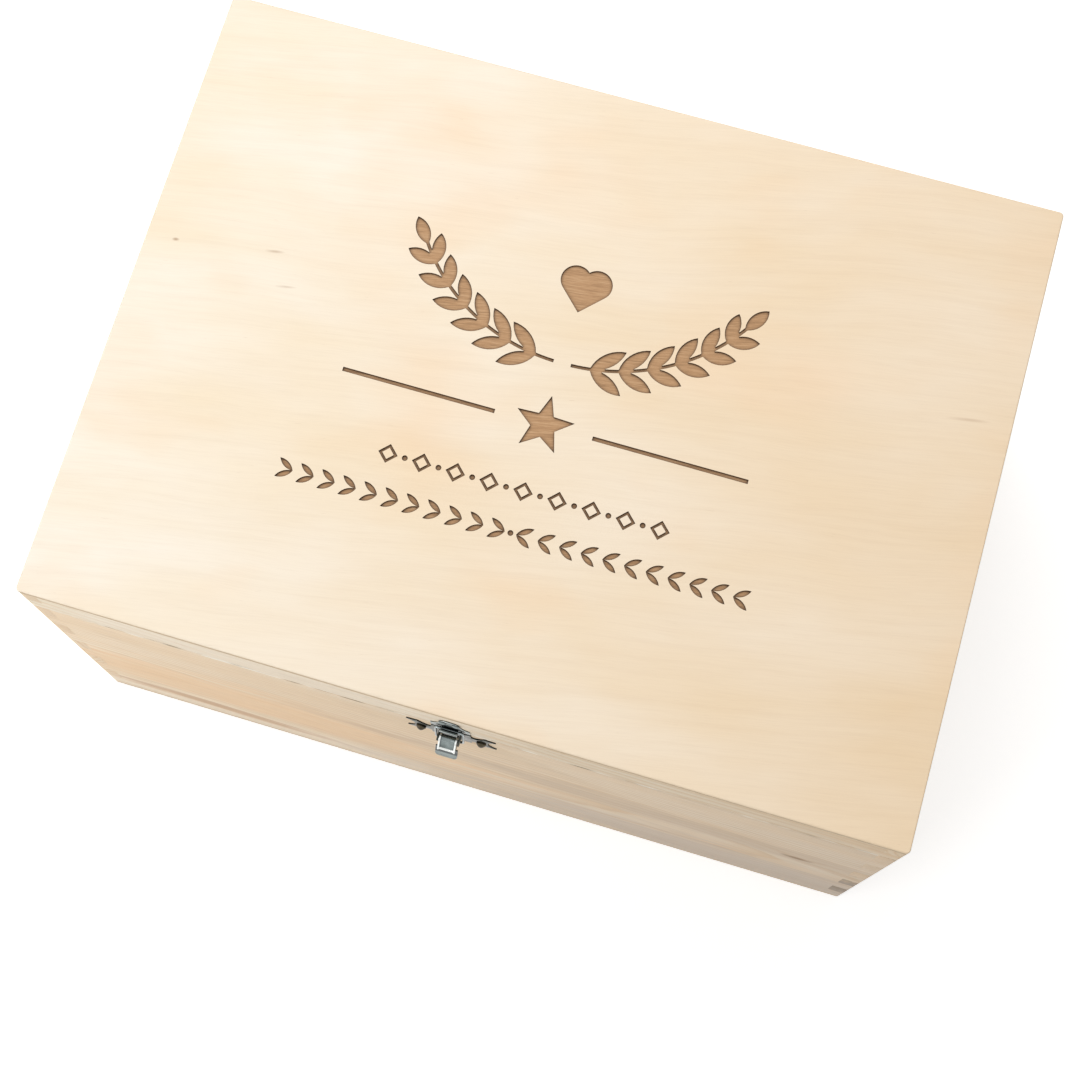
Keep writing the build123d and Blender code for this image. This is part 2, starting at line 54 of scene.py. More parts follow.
# ---- the photograph's frame and camera ----
PHOTO_WIDTH = 1079
PHOTO_HEIGHT = 1070
FOCAL_PIXELS = 2169.6
AXIS_PIXEL = (496.2, 413.8)
CAMERA_PLACE = (0.0789, -0.2768, 1.1541)
CAMERA_TARGET = (-0.0211, -0.0140, 0.2300)
CAMERA_ROLL = -4.37

# ---- places on the box, from the frame ----
CASE_LOW, CASE_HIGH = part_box("bottom_panel")[0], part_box("lid_panel")[1]
TOP = CASE_HIGH.z
FRONT = CASE_LOW.y
BACK = CASE_HIGH.y
SEAM = (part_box("body_front_wall")[1].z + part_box("lid_front_rail")[0].z) / 2

# ---- the pine, whose patterns have these sizes along, across and up the board ----
BOARD_EDGE = 0.3 * MM
RING_PITCH = 3.6 * MM
LOG_TAPER = 0.022
SLOW_WAVE = (300 * MM, 70 * MM, 70 * MM)
SLOW_WAVE_REACH = 11 * MM
QUICK_WAVE = (50 * MM, 9 * MM, 9 * MM)
QUICK_WAVE_REACH = 0.9 * MM
KNOT_STRETCH = 1.7
KNOT_SWELL = 1.6
KNOT_FADE = 0.7
WARM_PATCH = (140 * MM, 40 * MM, 40 * MM)
STAIN_RIM = (50 * MM, 6 * MM, 6 * MM)
# fibres are 0.05 mm wide and end pores less, so both are drawn as coarse as they need to be to show
PINE_FIBRE = (30 * MM, 1.1 * MM, 1.1 * MM)
END_PORE = (0.9 * MM, 0.5 * MM, 0.5 * MM)
RESIN_STREAK = (12 * MM, 0.7 * MM, 0.7 * MM)
PINE_RELIEF = 0.05 * MM
# how far from the seam the chips reach, and the size of one chip: saw fray, with painted shade and a painted
# highlight
SEAM_CHIP_REACH = 1.6 * MM
SEAM_CHIP = (20 * MM, 4 * MM, 1.6 * MM)
SEAM_CHIP_SOFT = 0.5 * MM

# ---- the plywood, with sizes along, across and down the slanting grain ----
PLY = 4.0 * MM
VENEER_SLANT = radians(-10)
VENEER_WAVE = (200 * MM, 80 * MM, 80 * MM)
VENEER_WAVE_REACH = 12 * MM
VENEER_CLOUD = (140 * MM, 60 * MM, 60 * MM)
VENEER_BLUSH = (75 * MM, 50 * MM, 50 * MM)
VENEER_STREAK = (90 * MM, 3 * MM, 3 * MM)
# birch fibres and vessels are under 0.1 mm wide, and are drawn as coarse as they need to be to show
VENEER_FIBRE = (14 * MM, 0.5 * MM, 0.5 * MM)
VENEER_PORE = (6 * MM, 0.5 * MM, 0.5 * MM)
VENEER_RELIEF = 0.04 * MM
TORN_EDGE = (3 * MM, 3 * MM, 0.4 * MM)
# the engraving lies within these halves of the lid's middle, and the laser's char follows the fibres
ENGRAVED_HALF_WIDTH = 190 * MM
ENGRAVED_HALF_DEPTH = 140 * MM
ENGRAVING_DEPTH = 0.8 * MM
CHAR_GRAIN = (10 * MM, 0.6 * MM, 0.6 * MM)
# how far from the walls the char and painted shade on the engraved floor reach
CHAR_AND_SHADE_REACH = 1.6 * MM
BURN_SOFT = 0.02 * MM

# ---- the metal's finish ----
METAL_EDGE = 0.18 * MM
TARNISH_PATCH = (6 * MM, 6 * MM, 6 * MM)
# scratches are hair-fine, and are drawn 0.2 mm wide so that they show
SCRATCH = (0.2 * MM, 0.2 * MM, 4 * MM)
METAL_RELIEF = 0.02 * MM
# how far the grime and painted shade reach out of the metal's corners and folds
GRIME_AND_SHADE_REACH = 2.5 * MM
# how soft the edges of the painted shade under the lever's rib are
SHADE_BAND_SOFT = 0.5 * MM

# ---- the hinges and the catch, as they are built ----
HINGE_SHEET = 1.2 * MM
CATCH_SHEET = 0.6 * MM
SCREW_SHANK = 1.1 * MM
SCREW_SLOT = 0.6 * MM
NAIL_SHANK = 0.6 * MM
# a head's rim as a share of its height, a point's length of its shank's radius, and the length of the
# bar that cuts a slot of the head's radius
RIM_SHARE = 0.35
POINT_SHARE = 1.6
SLOT_CUTTER_SHARE = 2.5
WIRE = 0.6 * MM
LINK_CORNER = 1.3 * MM
LINK_TURN_IN = 3.0 * MM
# half of the lever's width between its cheeks' outer faces, and where the rib lies on it
LEVER_HALF = 4.1 * MM
LEVER_SHEET = 0.8 * MM
RIB_ABOVE_LIP = 8.6 * MM
RIB_OUT = 7.9 * MM
# how far below the rib the painted shade across the lever's lip begins and ends
SHADE_BELOW_RIB = (5.0 * MM, 0.8 * MM)

# ---- how round the fixings and the wire are ----
HEAD_SIDES = 32
HEAD_RINGS = 7
SHANK_SIDES = 16
WIRE_SIDES = 16
CORNER_STEPS = 8

# ---- where metal carries a painted highlight, as an attribute of its faces ----
HIGHLIGHT_ATTRIBUTE = "painted_highlight"
EDGE_HIGHLIGHT = 0.7

# ---- how meshes are cleaned and shaded ----
DOUBLES = 0.002 * MM
FLAT = radians(0.5)
SHARP = radians(28)
SMOOTH = radians(35)

# ---- the studio ----
FLOOR_SIZE = 30
FLOOR_GAP = 0.05 * MM
# the world lights the box at one strength, and shows itself and its reflection at another, as white
FLOOR_GLOW = 0.6
WORLD_LIGHT = 0.48
WORLD_SEEN = 1.0
BOX_MIDDLE = (0, 0, 0.15)


# ---- colours and nodes ----
def linear(hex_colour):
    """An sRGB hex colour as linear red, green, blue and alpha."""
    shares = [int(hex_colour[i:i + 2], 16) / 255 for i in (1, 3, 5)]
    return (*[c / 12.92 if c <= 0.04045 else ((c + 0.055) / 1.055) ** 2.4 for c in shares], 1.0)


def add(tree, kind, inputs=None, **settings):
    """Adds a node with its settings; an input is a value, or the output that it is linked to."""
    made = tree.nodes.new(kind)
    for name, value in settings.items():
        setattr(made, name, value)
    for key, value in (inputs or {}).items():
        if isinstance(value, bpy.types.NodeSocket):
            tree.links.new(value, made.inputs[key])
        else:
            made.inputs[key].default_value = value
    return made


def new_material(name):
    """A material with its tree and its Principled shader."""
    material = bpy.data.materials.new(name)
    material.use_nodes = True
    tree = material.node_tree
    return material, tree, tree.nodes["Principled BSDF"]


def sums(tree, operation, first, second=0.0, third=0.0):
    """One step of arithmetic on numbers or outputs."""
    return add(tree, "ShaderNodeMath", {0: first, 1: second, 2: third}, operation=operation).outputs[0]


def blend(tree, share, first, second, kind="MIX"):
    """Two colours mixed by a share."""
    mixed = add(tree, "ShaderNodeMix", {0: share, 6: first, 7: second}, data_type="RGBA", blend_type=kind)
    return mixed.outputs[2]


def ramp(tree, value, stops):
    """A colour that follows a value through stops of (place, hex colour)."""
    made = add(tree, "ShaderNodeValToRGB", {0: value})
    scale = made.color_ramp
    while len(scale.elements) < len(stops):
        scale.elements.new(1.0)
    for element, (place, colour) in zip(scale.elements, stops):
        element.position = place
        element.color = linear(colour)
    return made.outputs["Color"]


def rise(tree, value, low, high):
    """0 below low, 1 above high, and a straight climb between; low may be the larger."""
    return add(tree, "ShaderNodeMapRange", {"Value": value, "From Min": low, "From Max": high}).outputs[0]


def band(tree, value, low, high, soft):
    """1 where a value lies between low and high, with soft edges."""
    return sums(tree, "MULTIPLY", rise(tree, value, low - soft, low + soft),
                rise(tree, value, high + soft, high - soft))


def cloud(tree, place, size, detail=3.0, roughness=0.5, seed=0.0):
    """Noise whose blotches have that size along x, y and z."""
    scaled = add(tree, "ShaderNodeVectorMath", {0: place, 1: [1 / s for s in size]}, operation="MULTIPLY")
    moved = add(tree, "ShaderNodeVectorMath", {0: scaled.outputs[0], 1: (seed, seed * 1.7, seed * 0.6)})
    noise = add(tree, "ShaderNodeTexNoise",
                {"Vector": moved.outputs[0], "Scale": 1.0, "Detail": detail, "Roughness": roughness})
    return noise.outputs["Fac"]


def centred(tree, value, reach):
    """Noise about one half, turned into a number from -reach to reach."""
    return sums(tree, "MULTIPLY", sums(tree, "SUBTRACT", value, 0.5), 2 * reach)


def apart(tree, vector):
    """The three numbers of a vector."""
    return add(tree, "ShaderNodeSeparateXYZ", {0: vector}).outputs


def oval(tree, across, up, centre, size):
    """How far a point lies from the centre of an oval, where its rim is 1."""
    run = sums(tree, "DIVIDE", sums(tree, "SUBTRACT", across, centre[0]), size[0])
    climb = sums(tree, "DIVIDE", sums(tree, "SUBTRACT", up, centre[1]), size[1])
    return sums(tree, "SQRT", sums(tree, "ADD", sums(tree, "MULTIPLY", run, run),
                                   sums(tree, "MULTIPLY", climb, climb)))


def from_end_to_end(tree, split):
    """0 at one end of the case and 1 at the other."""
    return rise(tree, split[0], CASE_LOW.x, CASE_HIGH.x)


def bumped(tree, shader, height, distance, strength):
    """Relief of that real depth on a shader."""
    bump = add(tree, "ShaderNodeBump", {"Height": height, "Distance": distance, "Strength": strength})
    tree.links.new(bump.outputs[0], shader.inputs["Normal"])


# ---- wood ----
def growth(tree, place, split, heart, seed, knots):
    """How far a point lies from the log's heart, and how deep in a knot.

    The log's taper and its slow and quick waves bend the rings, and they flow round each knot.
    """
    radius = oval(tree, split[1], split[2], heart, (1, 1))
    radius = sums(tree, "MULTIPLY_ADD", split[0], LOG_TAPER, radius)
    slow = cloud(tree, place, SLOW_WAVE, 2, 0.5, seed)
    quick = cloud(tree, place, QUICK_WAVE, 2, 0.5, seed + 3)
    radius = sums(tree, "ADD", radius, centred(tree, slow, SLOW_WAVE_REACH))
    radius = sums(tree, "ADD", radius, centred(tree, quick, QUICK_WAVE_REACH))
    knotty = 0.0
    for along_board, height, size in knots:
        away = oval(tree, split[0], split[2], (along_board, height), (KNOT_STRETCH * size, size))
        swell = sums(tree, "EXPONENT", sums(tree, "MULTIPLY", away, -KNOT_FADE))
        radius = sums(tree, "MULTIPLY_ADD", swell, KNOT_SWELL * size, radius)
        knotty = sums(tree, "MAXIMUM", rise(tree, away, 1.25, 0.45), knotty)
    return radius, knotty


def stained(tree, colour, place, split, seed, stains_and_casts):
    """A colour with its stains and painted casts over it, whose rims run out along the grain."""
    for centre, size, stain_colour, strength in stains_and_casts:
        rim = centred(tree, cloud(tree, place, STAIN_RIM, 3, 0.6, seed + 27), 0.9)
        away = sums(tree, "ADD", oval(tree, split[0], split[2], centre, size), rim)
        share = sums(tree, "MULTIPLY", rise(tree, away, 1.15, 0.55), strength)
        colour = blend(tree, share, colour, linear(stain_colour))
    return colour


def seam_chips(tree, colour, place, split, upright, outside, seed):
    """A colour with dark and pale chips along the seam where the lid was parted from the body: saw fray,
    with the dark chips also painted shade and the pale ones also a painted highlight.

    They lie on the outer edges alone, which slope and are furthest from the middle.
    """
    outermost = rise(tree, sums(tree, "ABSOLUTE", split[1]), outside - 2 * SEAM_CHIP_REACH, outside - SEAM_CHIP_REACH)
    sloping = rise(tree, sums(tree, "ABSOLUTE", upright), 0.95, 0.80)
    by_seam = band(tree, split[2], SEAM - SEAM_CHIP_REACH, SEAM + SEAM_CHIP_REACH, SEAM_CHIP_SOFT)
    by_seam = sums(tree, "MULTIPLY", by_seam, sums(tree, "MULTIPLY", outermost, sloping))
    # the dark chips are fray and painted shade, the pale ones fray and a painted highlight
    for step, chip_colour in ((37, "#A08868"), (31, "#FFF8EA")):
        chips = rise(tree, cloud(tree, place, SEAM_CHIP, 2, 0.6, seed + step), 0.50, 0.62)
        colour = blend(tree, sums(tree, "MULTIPLY", by_seam, chips), colour, linear(chip_colour))
    return colour


def pine(name, along, heart, seed, tones, cut_depth=0.7, knots=(), stains_and_casts=()):
    """Planed and sanded pine, unfinished: pale earlywood, faint honey latewood lines, duller end grain.

    The rings are those of one log whose heart lies at (depth, height) from the origin. The tones are
    those of the board's two ends, and cut_depth is how much its end grain has darkened. A knot is
    (along, height, size). A stain is (centre, size, colour, strength): heartwood or a resin patch, and
    at the front wall's foot a grey cast that is painted reflection and painted shade.
    (along, height, size). A stain is (centre, size, colour, strength): heartwood, or a resin patch.
    """
    material, tree, shader = new_material(name)
    coordinates = add(tree, "ShaderNodeTexCoord").outputs
    turn = (0, 0, 0) if along == "X" else (0, 0, -pi / 2)
    place = add(tree, "ShaderNodeMapping", {"Vector": coordinates["Object"], "Rotation": turn}).outputs[0]
    facing = add(tree, "ShaderNodeMapping", {"Vector": coordinates["Normal"], "Rotation": turn},
                 vector_type="NORMAL").outputs[0]
    split = apart(tree, place)
    towards = apart(tree, facing)
    end_grain = rise(tree, sums(tree, "ABSOLUTE", towards[0]), 0.6, 0.8)
    radius, knotty = growth(tree, place, split, heart, seed, knots)
    ring = sums(tree, "FRACT", sums(tree, "DIVIDE", radius, RING_PITCH))
    colour = blend(tree, from_end_to_end(tree, split), linear(tones[0]), linear(tones[1]))
    # a ring is pale for half its width and darkens into its latewood line, after which the next begins
    latewood = ramp(tree, ring, [(0.0, "#FCFAF7"), (0.45, "#FFFFFF"), (0.80, "#F3E7D6"), (0.93, "#EBD9BF"),
                                 (1.0, "#FAF5EE")])
    colour = blend(tree, 0.75, colour, latewood, "MULTIPLY")
    warmth = cloud(tree, place, WARM_PATCH, 3, 0.5, seed + 7)
    warm = sums(tree, "MULTIPLY", rise(tree, warmth, 0.4, 0.8), 0.6)
    colour = blend(tree, warm, colour, linear("#EACBA4"))
    colour = stained(tree, colour, place, split, seed, stains_and_casts)
    fibre = cloud(tree, place, PINE_FIBRE, 4, 0.65, seed + 11)
    colour = blend(tree, 0.22, colour, ramp(tree, fibre, [(0.30, "#9C8B78"), (0.55, "#FFFFFF")]), "MULTIPLY")
    outside = CASE_HIGH.y if along == "X" else CASE_HIGH.x
    colour = seam_chips(tree, colour, place, split, towards[2], outside, seed)
    resin = rise(tree, cloud(tree, place, RESIN_STREAK, 1, 0.5, seed + 17), 0.71, 0.77)
    colour = blend(tree, sums(tree, "MULTIPLY", resin, 0.3), colour, linear("#B98A5C"))
    knot_colour = ramp(tree, ring, [(0.0, "#A98460"), (0.8, "#7E5F42"), (1.0, "#A98460")])
    colour = blend(tree, sums(tree, "MULTIPLY", knotty, 0.85), colour, knot_colour)
    pores = cloud(tree, place, END_PORE, 3, 0.7, seed + 23)
    open_grain = ramp(tree, pores, [(0.30, "#C4AE95"), (0.65, "#F8EFE2")])
    colour = blend(tree, sums(tree, "MULTIPLY", end_grain, cut_depth), colour, open_grain, "MULTIPLY")
    tree.links.new(colour, shader.inputs["Base Color"])
    shader.inputs["Roughness"].default_value = 0.62
    shader.inputs["Specular IOR Level"].default_value = 0.3
    relief = sums(tree, "MULTIPLY_ADD", ring, 0.35, fibre)
    relief = sums(tree, "MULTIPLY_ADD", sums(tree, "MULTIPLY", end_grain, pores), 1.5, relief)
    bumped(tree, shader, relief, PINE_RELIEF, 0.6)
    return material


def ply_layers(tree, place, split, low, seed):
    """The colours of the three plies at a cut edge, each face veneer parted from the core by a dark glue
    line, and how torn their fibres are.
    """
    layer = sums(tree, "DIVIDE", sums(tree, "SUBTRACT", split[2], low), PLY)
    layers = ramp(tree, layer, [(0.0, "#EBD9BB"), (0.27, "#E2CDAA"), (0.29, "#9C7E5C"), (0.31, "#CFB18A"),
                                (0.69, "#CBAB82"), (0.71, "#957550"), (0.73, "#E2CDAA"), (1.0, "#F0DFC4")])
    torn = cloud(tree, place, TORN_EDGE, 3, 0.7, seed + 21)
    shade = ramp(tree, torn, [(0.30, "#8E765C"), (0.62, "#FFFFFF")])
    return blend(tree, 0.4, layers, shade, "MULTIPLY"), torn


def laser_burn(tree, flow, split, edge, seed):
    """Where the laser has cut below the face, the brown that it left, and the grain of its char.

    The floor is toasted and darkened near the walls by char and painted shade, and the walls are charred.
    """
    wide = band(tree, split[0], -ENGRAVED_HALF_WIDTH, ENGRAVED_HALF_WIDTH, MM)
    deep = band(tree, split[1], -ENGRAVED_HALF_DEPTH, ENGRAVED_HALF_DEPTH, MM)
    under = band(tree, split[2], TOP - 2 * ENGRAVING_DEPTH, TOP - 2 * BURN_SOFT, BURN_SOFT)
    burnt = sums(tree, "MULTIPLY", sums(tree, "MULTIPLY", wide, deep), under)
    char = cloud(tree, flow, CHAR_GRAIN, 4, 0.7, seed + 31)
    toasted = ramp(tree, char, [(0.28, "#94714E"), (0.50, "#B98F66"), (0.72, "#CDA880")])
    # char and painted shade: the floor darkens where the walls hem it in
    corner = add(tree, "ShaderNodeAmbientOcclusion", {"Distance": CHAR_AND_SHADE_REACH}, samples=8).outputs["AO"]
    toasted = blend(tree, rise(tree, corner, 0.95, 0.55), toasted, linear("#5E4630"))
    charred = ramp(tree, char, [(0.3, "#4C3421"), (0.7, "#6A4A2E")])
    return burnt, blend(tree, edge, toasted, charred), char


def plywood(name, low, seed, tones, engraved=False, knots=()):
    """Sanded three-ply with a pale rotary-cut face veneer: soft clouds, faint slanting fibres and pin knots.

    Its edge shows the plies. Where the face is engraved, a laser has burnt the wood brown. A knot is
    (x, y, length, width, strength).
    """
    material, tree, shader = new_material(name)
    coordinates = add(tree, "ShaderNodeTexCoord").outputs
    place = coordinates["Object"]
    split = apart(tree, place)
    slanted = add(tree, "ShaderNodeMapping", {"Vector": place, "Rotation": (0, 0, VENEER_SLANT)}).outputs[0]
    wave = centred(tree, cloud(tree, slanted, VENEER_WAVE, 2, 0.5, seed), VENEER_WAVE_REACH)
    bend = add(tree, "ShaderNodeCombineXYZ", {1: wave}).outputs[0]
    flow = add(tree, "ShaderNodeVectorMath", {0: slanted, 1: bend}).outputs[0]
    colour = blend(tree, from_end_to_end(tree, split), linear(tones[0]), linear(tones[1]))
    clouds = cloud(tree, flow, VENEER_CLOUD, 3, 0.55, seed + 2)
    colour = blend(tree, 1.0, colour, ramp(tree, clouds, [(0.30, "#FFFFFF"), (0.70, "#FAF2E4")]), "MULTIPLY")
    blush = rise(tree, cloud(tree, flow, VENEER_BLUSH, 2, 0.5, seed + 5), 0.52, 0.78)
    colour = blend(tree, sums(tree, "MULTIPLY", blush, 0.45), colour, linear("#F5D3AC"))
    streaks = cloud(tree, flow, VENEER_STREAK, 4, 0.6, seed + 9)
    streaked = ramp(tree, streaks, [(0.34, "#C8AF90"), (0.58, "#FFFFFF")])
    colour = blend(tree, 0.055, colour, streaked, "MULTIPLY")
    fibre = cloud(tree, flow, VENEER_FIBRE, 4, 0.65, seed + 12)
    colour = blend(tree, 0.05, colour, ramp(tree, fibre, [(0.30, "#A98F72"), (0.56, "#FFFFFF")]), "MULTIPLY")
    pores = rise(tree, cloud(tree, flow, VENEER_PORE, 1, 0.5, seed + 15), 0.75, 0.81)
    colour = blend(tree, sums(tree, "MULTIPLY", pores, 0.16), colour, linear("#B08C66"))
    turned = apart(tree, slanted)
    for x, y, length, width, strength in knots:
        spot = Matrix.Rotation(VENEER_SLANT, 3, "Z") @ Vector((x, y, 0))
        away = sums(tree, "ADD", oval(tree, turned[0], turned[1], spot, (length, width)),
                    centred(tree, streaks, 0.6))
        share = sums(tree, "MULTIPLY", rise(tree, away, 1.0, 0.1), strength)
        colour = blend(tree, share, colour, linear("#9B6F45"))
    edge = rise(tree, sums(tree, "ABSOLUTE", apart(tree, coordinates["Normal"])[2]), 0.55, 0.35)
    layers, torn = ply_layers(tree, place, split, low, seed)
    colour = blend(tree, edge, colour, layers)
    relief = sums(tree, "MULTIPLY_ADD", sums(tree, "MULTIPLY", edge, torn), 2.0, fibre)
    if engraved:
        burnt, brown, char = laser_burn(tree, flow, split, edge, seed)
        colour = blend(tree, burnt, colour, brown)
        relief = sums(tree, "MULTIPLY_ADD", sums(tree, "MULTIPLY", burnt, char), 2.5, relief)
    tree.links.new(colour, shader.inputs["Base Color"])
    shader.inputs["Roughness"].default_value = 0.58
    shader.inputs["Specular IOR Level"].default_value = 0.3
    bumped(tree, shader, relief, VENEER_RELIEF, 0.5)
    return material


# ---- metal ----
def plated(name, colour, tarnish, roughness, seed, grime_and_shade, shade_band=None):
    """Plated steel: a soft sheen with faint rolling scratches, duller patches of tarnish, grime and painted
    shade darkening the corners, and a painted highlight of pale bright metal on the faces that carry it
    as an attribute. Painted shade also darkens the metal between the two heights given for its band.
    """
    material, tree, shader = new_material(name)
    place = add(tree, "ShaderNodeTexCoord").outputs["Object"]
    patches = cloud(tree, place, TARNISH_PATCH, 4, 0.6, seed)
    worn = rise(tree, patches, 0.42, 0.66)
    shade = blend(tree, sums(tree, "MULTIPLY", worn, 0.7), linear(colour), linear(tarnish))
    # grime and painted shade: the metal darkens where nearby surfaces hem it in
    corner = add(tree, "ShaderNodeAmbientOcclusion", {"Distance": GRIME_AND_SHADE_REACH}, samples=8).outputs["AO"]
    shade = blend(tree, sums(tree, "MULTIPLY", rise(tree, corner, 0.92, 0.45), 0.88), shade, linear(grime_and_shade))
    # painted shade: a dark band across the lever's lip just under the rib
    if shade_band:
        band_shade = sums(tree, "MULTIPLY", band(tree, apart(tree, place)[2], *shade_band, SHADE_BAND_SOFT), 0.85)
        shade = blend(tree, band_shade, shade, linear(grime_and_shade))
    # painted highlight: faces that carry the attribute are painted pale bright metal, and made a little
    # glossier
    painted_highlight = add(tree, "ShaderNodeAttribute", attribute_name=HIGHLIGHT_ATTRIBUTE).outputs["Fac"]
    shade = blend(tree, painted_highlight, shade, linear("#E2E5E2"))
    tree.links.new(shade, shader.inputs["Base Color"])
    scratches = cloud(tree, place, SCRATCH, 3, 0.6, seed + 5)
    gloss = sums(tree, "MULTIPLY_ADD", worn, 0.14, roughness)
    gloss = sums(tree, "MULTIPLY_ADD", painted_highlight, -0.06, gloss)
    tree.links.new(sums(tree, "MULTIPLY_ADD", scratches, 0.10, gloss), shader.inputs["Roughness"])
    shader.inputs["Metallic"].default_value = 1.0
    bumped(tree, shader, sums(tree, "ADD", scratches, patches), METAL_RELIEF, 0.3)
    return material


# ---- pieces ----
def coat(piece, material):
    """The piece wears one material."""
    piece.data.materials.clear()
    piece.data.materials.append(material)


def settle(piece, *nodes):
    """The piece rides and stands for these CAD nodes."""
    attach(piece, BODY_OF[nodes[0]])
    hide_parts(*nodes)


def smoothed(mesh):
    """Round faces shade as round, and their edges stay sharp."""
    for face in mesh.polygons:
        face.use_smooth = True
    mesh.set_sharp_from_angle(angle=SMOOTH)


def dressed(node, material, edge, highlighted_faces=None):
    """A copy of a CAD node as one smooth skin with rounded edges, which stands for the node.

    The rounded edges get a weaker painted highlight, and the faces that the given test picks get a full one.
    """
    mesh = frame["nodes"][node].data.copy()
    mesh.name = f"{node}_skin"
    skin = bmesh.new()
    skin.from_mesh(mesh)
    bmesh.ops.remove_doubles(skin, verts=skin.verts, dist=DOUBLES)
    bmesh.ops.dissolve_limit(skin, angle_limit=FLAT, verts=skin.verts, edges=skin.edges)
    # each face's share of painted highlight: full on the faces that the test picks
    painted_highlight = skin.faces.layers.float.new(HIGHLIGHT_ATTRIBUTE)
    for face in skin.faces:
        face[painted_highlight] = float(bool(highlighted_faces and highlighted_faces(face)))
    sharp = [e for e in skin.edges if e.is_manifold and e.calc_face_angle(0) > SHARP]
    rounded = bmesh.ops.bevel(skin, geom=sharp, offset=edge, segments=2, profile=0.5, affect="EDGES",
                              clamp_overlap=True)
    # the rounded edges get a weaker painted highlight
    for face in rounded["faces"]:
        face[painted_highlight] = EDGE_HIGHLIGHT
    skin.to_mesh(mesh)
    skin.free()
    smoothed(mesh)
    piece = bpy.data.objects.new(f"{node}_skin", mesh)
    bpy.context.scene.collection.objects.link(piece)
    coat(piece, material)
    settle(piece, node)


def boards():
    """The eight pine boards, each cut from its own stretch of log.

    A stain here is its centre along and up the board, its half length and half height, its colour and
    its strength. A plan is what pine() takes after the name.
    """
    grey_heart = ((0.115, 0.116), (0.19, 0.021), "#CDB69C", 0.6)
    pale_rail = ((-0.09, 0.215), (0.11, 0.030), "#FDF1DE", 0.6)
    # a grey-mauve cast at the front's lower right: painted reflection of a bluish surface below, and painted
    # shade
    painted_cast_foot = ((0.16, 0.025), (0.20, 0.045), "#CFC0B2", 0.6)
    peach_sapwood = ((-0.10, 0.085), (0.13, 0.045), "#F7D3A9", 0.75)
    pale_foot = ((-0.12, 0.020), (0.14, 0.026), "#FFEED6", 0.85)
    brown_patch = ((-0.140, 0.029), (0.060, 0.009), "#CDA37A", 0.75)
    dark_foot = ((-0.152, 0.045), (0.006, 0.052), "#93867A", 0.8)
    front_stains_and_cast = [peach_sapwood, pale_foot, painted_cast_foot, grey_heart, brown_patch]
    plans = {
        "body_front_wall": ("X", (-0.225, 0.085), 1.0, ("#FAE6CA", "#E9D8C2"), 0.0,
                            [(0.165, 0.108, 0.0042)], front_stains_and_cast),
        "body_back_wall": ("X", (0.21, 0.06), 21.0, ("#F2DDBD", "#EED6B2"), 0.6, [(0.06, 0.150, 0.006)]),
        "body_left_wall": ("Y", (0.27, 0.10), 41.0, ("#FAE5C9", "#EFD5B0"), 0.05, [(-0.05, 0.07, 0.005)]),
        "body_right_wall": ("Y", (-0.26, 0.04), 61.0, ("#E7D6C0", "#F3DFC0"), 0.3, [(0.07, 0.135, 0.007)],
                            [dark_foot]),
        "lid_front_rail": ("X", (-0.24, 0.17), 81.0, ("#F5E8D1", "#E8D6BC"), 0.5, (), [pale_rail]),
        "lid_back_rail": ("X", (0.22, 0.19), 101.0, ("#F1DDBE", "#EED8B8"), 0.5),
        "lid_left_rail": ("Y", (0.25, 0.18), 121.0, ("#F1DFC4", "#F2DFC2"), 0.1),
        "lid_right_rail": ("Y", (-0.27, 0.25), 141.0, ("#E9D8BF", "#EED7B5"), 0.2),
    }
    for node, plan in plans.items():
        dressed(node, pine(f"planed_pine_{node}", *plan), BOARD_EDGE)


def panels():
    """The plywood lid and bottom, whose meshes are right as they are built."""
    pins = [(-0.186, 0.025, 0.0016, 0.0009, 0.6), (-0.140, 0.032, 0.0045, 0.0008, 0.4),
            (-0.130, 0.017, 0.0060, 0.0008, 0.35), (0.181, 0.042, 0.0100, 0.0010, 0.25)]
    # birch ply for the lid, sanded fine: nearly even and creamy, with a breath of pink, and burnt brown
    # where it is engraved; paler at the left end and darker at the right, partly as paler wood and partly as
    # painted light falling off from the left
    top = plywood("birch_veneer_ply_lid", TOP - PLY, 5.0, ("#FAF1E2", "#F3DFC4"), True, pins)
    # the same ply unseen underneath, a little yellower
    bottom = plywood("birch_veneer_ply_bottom", CASE_LOW.z, 55.0, ("#F1E0C4", "#EED9B9"))
    coat(frame["nodes"]["lid_panel"], top)
    coat(frame["nodes"]["bottom_panel"], bottom)


# ---- what repeats or follows a path ----
def growth_tree(name, sizes, others):
    """A geometry tree with a named input for each size and for each of the others, and what these give."""
    tree = bpy.data.node_groups.new(name, "GeometryNodeTree")
    sockets = {"Geometry": "NodeSocketGeometry", **dict.fromkeys(sizes, "NodeSocketFloat"), **others}
    for socket, kind in sockets.items():
        tree.interface.new_socket(socket, in_out="INPUT", socket_type=kind)
    tree.interface.new_socket("Geometry", in_out="OUTPUT", socket_type="NodeSocketGeometry")
    return tree, add(tree, "NodeGroupInput").outputs


def finish_tree(tree, shape, material):
    """Ends a geometry tree with plain geometry in its material."""
    real = add(tree, "GeometryNodeRealizeInstances", {0: shape}).outputs[0]
    coated = add(tree, "GeometryNodeSetMaterial", {"Geometry": real, "Material": material}).outputs[0]
    add(tree, "NodeGroupOutput", {0: coated})


